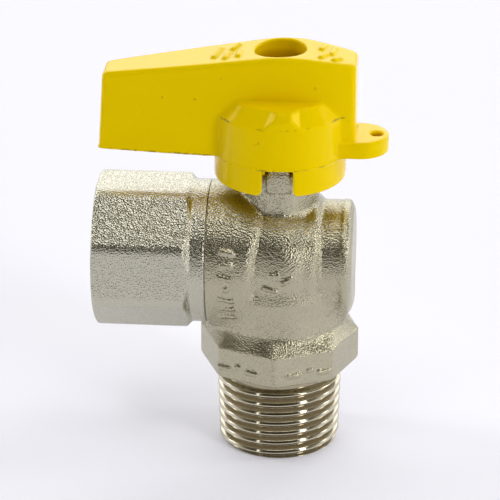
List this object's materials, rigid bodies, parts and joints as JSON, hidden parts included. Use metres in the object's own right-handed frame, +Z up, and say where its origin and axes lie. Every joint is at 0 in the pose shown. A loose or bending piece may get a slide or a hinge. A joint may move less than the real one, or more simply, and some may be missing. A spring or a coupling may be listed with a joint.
{
  "type": "ball valve",
  "caption": "Angle ball valve for gas pipework: forged body with a male threaded outlet, screwed-in female inlet, floating ball with an L port, and a quarter-turn yellow lever.",
  "frame": {"origin": "centre of the outlet's end face, on the axis shared by the outlet, the stem and the lever's turn", "axes": "+Z up the outlet and stem axis towards the lever, -X out of the inlet, and the lever at rest along -X"},
  "size_m": [0.0487, 0.027, 0.071],
  "materials": {
    "nickel_plated_brass": "blasted forging, nickel plated",
    "chromed_brass": "polished, hard chromed",
    "machined_brass": "turned, bare",
    "ptfe": "turned PTFE",
    "nitrile_rubber": "moulded",
    "yellow_coated_casting": "die-cast aluminium with a gloss yellow coat",
    "zinc_plated_steel": "zinc plated"
  },
  "bodies": {
    "valve_body": {"body": "nickel_plated_brass", "inlet_connector": "nickel_plated_brass", "connector_seal_ring": "nitrile_rubber", "inlet_seat": "ptfe", "rear_seat": "ptfe", "stem_thrust_washer": "ptfe"},
    "ball": {"ball": "chromed_brass"},
    "lever": {"lever": "yellow_coated_casting", "lever_screw": "zinc_plated_steel", "screw_washer": "zinc_plated_steel", "stem": "machined_brass", "stem_oring_lower": "nitrile_rubber", "stem_oring_upper": "nitrile_rubber"}
  },
  "joints": [
    {"name": "lever_turn", "type": "hinge", "parent": "valve_body", "child": "lever", "pos_m": [0, 0, 0.0341], "axis": [0, 0, -1], "range_deg": [0, 90]},
    {"name": "ball_turn", "type": "hinge", "parent": "valve_body", "child": "ball", "pos_m": [0, 0, 0.0341], "axis": [0, 0, -1], "range_deg": [0, 90]}
  ],
  "couplings": [
    {"joint": "ball_turn", "follows": "lever_turn", "ratio": 1}
  ]
}
